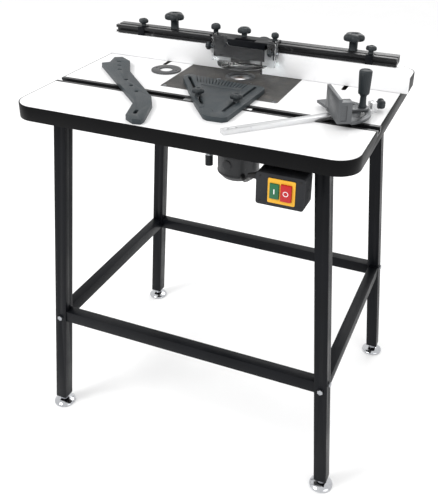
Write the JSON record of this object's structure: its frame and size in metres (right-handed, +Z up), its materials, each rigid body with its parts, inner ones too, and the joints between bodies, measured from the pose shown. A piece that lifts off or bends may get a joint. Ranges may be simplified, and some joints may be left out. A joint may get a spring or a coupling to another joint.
{
  "type": "router table",
  "caption": "Floor-standing router table with a laminated top, split fence, clear cutter guard, mitre gauge, featherboard, safety switch and plunge router.",
  "frame": {"origin": "on the floor under the middle of the table top", "axes": "+Z up, +X to the operator's right along the fence, +Y from the operator's side to the back; the fence and the router are at rest as shown"},
  "size_m": [0.84, 0.686, 1.0538],
  "materials": {
    "board": "fine raw board, seen only from below",
    "laminate": "satin white laminate",
    "edging": "black edging",
    "frame_paint": "blue-black powder coat",
    "black_extrusion": "black anodised",
    "plate": "dark grey phenolic plate",
    "ring": "grey reducing ring",
    "fasteners": "zinc-plated steel",
    "face": "white melamine face",
    "port": "mid-grey moulded plastic",
    "shield": "clear plastic sheet",
    "knob": "black moulded knob",
    "slate_plastic": "slate grey-blue moulding",
    "cast": "die-cast, satin",
    "bar": "ground bar",
    "foot_chrome": "chromed dome",
    "switch_case": "grey box",
    "switch_yellow": "yellow plate",
    "green": "green push button",
    "red": "red push button",
    "motor": "dark motor housing",
    "router_metal": "machined base and columns",
    "collet": "warm metal collet and nut",
    "cord": "black cord"
  },
  "bodies": {
    "table": {"table_board": "board", "top_laminate": "laminate", "edge_band": "edging", "mitre_track": "black_extrusion", "insert_plate": "plate", "top_screws": "fasteners", "leg_front_left": "frame_paint", "leg_front_right": "frame_paint", "leg_back_left": "frame_paint", "leg_back_right": "frame_paint", "low_rails_long": "frame_paint", "low_rails_side": "frame_paint", "upper_rails": "frame_paint", "frame_bolts": "fasteners", "switch_bracket": "frame_paint", "switch_box": "switch_case", "switch_plate": "switch_yellow", "router_base": "router_metal", "router_cord": "cord"},
    "fence": {"fence_rail": "black_extrusion", "fence_bolts": "fasteners", "dust_port": "port", "guard_bracket": "frame_paint"},
    "face_left": {"fence_face_left": "face", "face_clip_left": "frame_paint"},
    "face_right": {"fence_face_right": "face", "face_clip_right": "frame_paint"},
    "guard": {"guard_shield": "shield"},
    "gauge": {"mitre_bar": "bar", "mitre_protractor": "cast"},
    "head": {"mitre_head": "cast"},
    "router_head": {"router_motor": "motor", "router_handles": "knob"},
    "ring": {"insert_ring": "ring"},
    "spare_ring": {"spare_ring": "ring"},
    "push_stick": {"push_stick": "slate_plastic"},
    "mitre_handle": {"mitre_handle": "knob"},
    "mitre_end_knob": {"mitre_end_knob": "knob"},
    "clamp_knob_left": {"clamp_knob_left": "knob"},
    "clamp_knob_right": {"clamp_knob_right": "knob"},
    "face_knob_left": {"face_knob_left": "knob"},
    "face_knob_right": {"face_knob_right": "knob"},
    "bracket_knob_left": {"bracket_knob_left": "knob"},
    "bracket_knob_middle": {"bracket_knob_middle": "knob"},
    "bracket_knob_right": {"bracket_knob_right": "knob"},
    "guard_knob_left": {"guard_knob_left": "knob"},
    "guard_knob_right": {"guard_knob_right": "knob"},
    "feather_shoe_left": {"feather_shoe_left": "bar"},
    "featherboard": {"featherboard": "slate_plastic"},
    "feather_shoe_right": {"feather_shoe_right": "bar"},
    "feather_knob_left": {"feather_knob_left": "knob"},
    "feather_knob_right": {"feather_knob_right": "knob"},
    "foot_front_left": {"foot_front_left": "foot_chrome"},
    "foot_front_right": {"foot_front_right": "foot_chrome"},
    "foot_back_left": {"foot_back_left": "foot_chrome"},
    "foot_back_right": {"foot_back_right": "foot_chrome"},
    "green_button": {"green_button": "green"},
    "red_button": {"red_button": "red"},
    "collet": {"collet": "collet"},
    "plunge_lever": {"plunge_lever": "knob"}
  },
  "joints": [
    {"name": "ring_lift", "type": "slide", "parent": "table", "child": "ring", "axis": [0, 0, 1], "range_m": [0, 0.012]},
    {"name": "spare_ring_lift", "type": "slide", "parent": "table", "child": "spare_ring", "axis": [0, 0, 1], "range_m": [0, 0.05]},
    {"name": "push_stick_lift", "type": "slide", "parent": "table", "child": "push_stick", "axis": [0, 0, 1], "range_m": [0, 0.1]},
    {"name": "gauge_lift", "type": "slide", "parent": "table", "child": "gauge", "axis": [0, 0, 1], "range_m": [0, 0.1]},
    {"name": "head_turn", "type": "hinge", "parent": "gauge", "child": "head", "pos_m": [0.30245, -0.11114, 0.95], "axis": [0, 0, 1], "range_deg": [-24, 60]},
    {"name": "handle_turn", "type": "hinge", "parent": "head", "child": "mitre_handle", "pos_m": [0.35293, -0.08258, 0.98], "axis": [0, 0, 1], "continuous": true},
    {"name": "end_knob_turn", "type": "hinge", "parent": "gauge", "child": "mitre_end_knob", "pos_m": [0.37535, -0.03696, 0.946], "axis": [0.7009, 0.7132, 0], "continuous": true},
    {"name": "fence_slide", "type": "slide", "parent": "table", "child": "fence", "axis": [0, 1, 0], "range_m": [-0.03, 0.055]},
    {"name": "face_left_slide", "type": "slide", "parent": "fence", "child": "face_left", "axis": [1, 0, 0], "range_m": [-0.02, 0.025]},
    {"name": "face_right_slide", "type": "slide", "parent": "fence", "child": "face_right", "axis": [1, 0, 0], "range_m": [-0.015, 0.02]},
    {"name": "guard_lift", "type": "slide", "parent": "fence", "child": "guard", "axis": [0, 0, 1], "range_m": [-0.016, 0.015]},
    {"name": "clamp_knob_left_turn", "type": "hinge", "parent": "fence", "child": "clamp_knob_left", "pos_m": [-0.223, 0.145, 1.03], "axis": [0, 0, 1], "continuous": true},
    {"name": "clamp_knob_right_turn", "type": "hinge", "parent": "fence", "child": "clamp_knob_right", "pos_m": [0.269, 0.145, 1.03], "axis": [0, 0, 1], "continuous": true},
    {"name": "face_knob_left_turn", "type": "hinge", "parent": "face_left", "child": "face_knob_left", "pos_m": [-0.308, 0.127, 1.02], "axis": [0, 0, 1], "continuous": true},
    {"name": "face_knob_right_turn", "type": "hinge", "parent": "face_right", "child": "face_knob_right", "pos_m": [0.318, 0.127, 1.02], "axis": [0, 0, 1], "continuous": true},
    {"name": "bracket_knob_left_turn", "type": "hinge", "parent": "fence", "child": "bracket_knob_left", "pos_m": [-0.094, 0.127, 1.025], "axis": [0, 0, 1], "continuous": true},
    {"name": "bracket_knob_middle_turn", "type": "hinge", "parent": "fence", "child": "bracket_knob_middle", "pos_m": [-0.014, 0.127, 1.025], "axis": [0, 0, 1], "continuous": true},
    {"name": "bracket_knob_right_turn", "type": "hinge", "parent": "fence", "child": "bracket_knob_right", "pos_m": [0.07, 0.127, 1.025], "axis": [0, 0, 1], "continuous": true},
    {"name": "guard_knob_left_turn", "type": "hinge", "parent": "fence", "child": "guard_knob_left", "pos_m": [-0.095, 0.097, 0.991], "axis": [1, 0, 0], "continuous": true},
    {"name": "guard_knob_right_turn", "type": "hinge", "parent": "fence", "child": "guard_knob_right", "pos_m": [0.07, 0.097, 0.991], "axis": [1, 0, 0], "continuous": true},
    {"name": "feather_shoe_slide", "type": "slide", "parent": "table", "child": "feather_shoe_left", "axis": [1, 0, 0], "range_m": [-0.01, 0.02]},
    {"name": "featherboard_slide", "type": "slide", "parent": "feather_shoe_left", "child": "featherboard", "axis": [0.5556, -0.8315, 0], "range_m": [-0.03, 0.02]},
    {"name": "feather_shoe_right_slide", "type": "slide", "parent": "featherboard", "child": "feather_shoe_right", "axis": [-0.0384, -0.9993, 0], "range_m": [-0.017, 0.0255]},
    {"name": "feather_knob_left_turn", "type": "hinge", "parent": "feather_shoe_left", "child": "feather_knob_left", "pos_m": [-0.022, -0.141, 0.95], "axis": [0, 0, 1], "continuous": true},
    {"name": "feather_knob_right_turn", "type": "hinge", "parent": "feather_shoe_right", "child": "feather_knob_right", "pos_m": [0.074, -0.141, 0.95], "axis": [0, 0, 1], "continuous": true},
    {"name": "foot_front_left_adjust", "type": "slide", "parent": "table", "child": "foot_front_left", "axis": [0, 0, 1], "range_m": [-0.012, 0]},
    {"name": "foot_front_right_adjust", "type": "slide", "parent": "table", "child": "foot_front_right", "axis": [0, 0, 1], "range_m": [-0.012, 0]},
    {"name": "foot_back_left_adjust", "type": "slide", "parent": "table", "child": "foot_back_left", "axis": [0, 0, 1], "range_m": [-0.012, 0]},
    {"name": "foot_back_right_adjust", "type": "slide", "parent": "table", "child": "foot_back_right", "axis": [0, 0, 1], "range_m": [-0.012, 0]},
    {"name": "green_press", "type": "slide", "parent": "table", "child": "green_button", "axis": [0, 1, 0], "range_m": [0, 0.0025], "stiffness_N_per_m": 900, "springref_m": -0.002},
    {"name": "red_press", "type": "slide", "parent": "table", "child": "red_button", "axis": [0, 1, 0], "range_m": [0, 0.0035], "stiffness_N_per_m": 900, "springref_m": -0.002},
    {"name": "router_plunge", "type": "slide", "parent": "table", "child": "router_head", "axis": [0, 0, 1], "range_m": [-0.03, 0.03], "deforming": ["router_cord"]},
    {"name": "collet_turn", "type": "hinge", "parent": "router_head", "child": "collet", "pos_m": [0, 0.069, 0.89], "axis": [0, 0, 1], "continuous": true},
    {"name": "lever_turn", "type": "hinge", "parent": "router_head", "child": "plunge_lever", "pos_m": [0, 0.134, 0.82165], "axis": [0, 1, 0], "range_deg": [0, 35]}
  ],
  "couplings": [
    {"joint": "feather_shoe_right_slide", "follows": "featherboard_slide", "ratio": -0.83208}
  ]
}
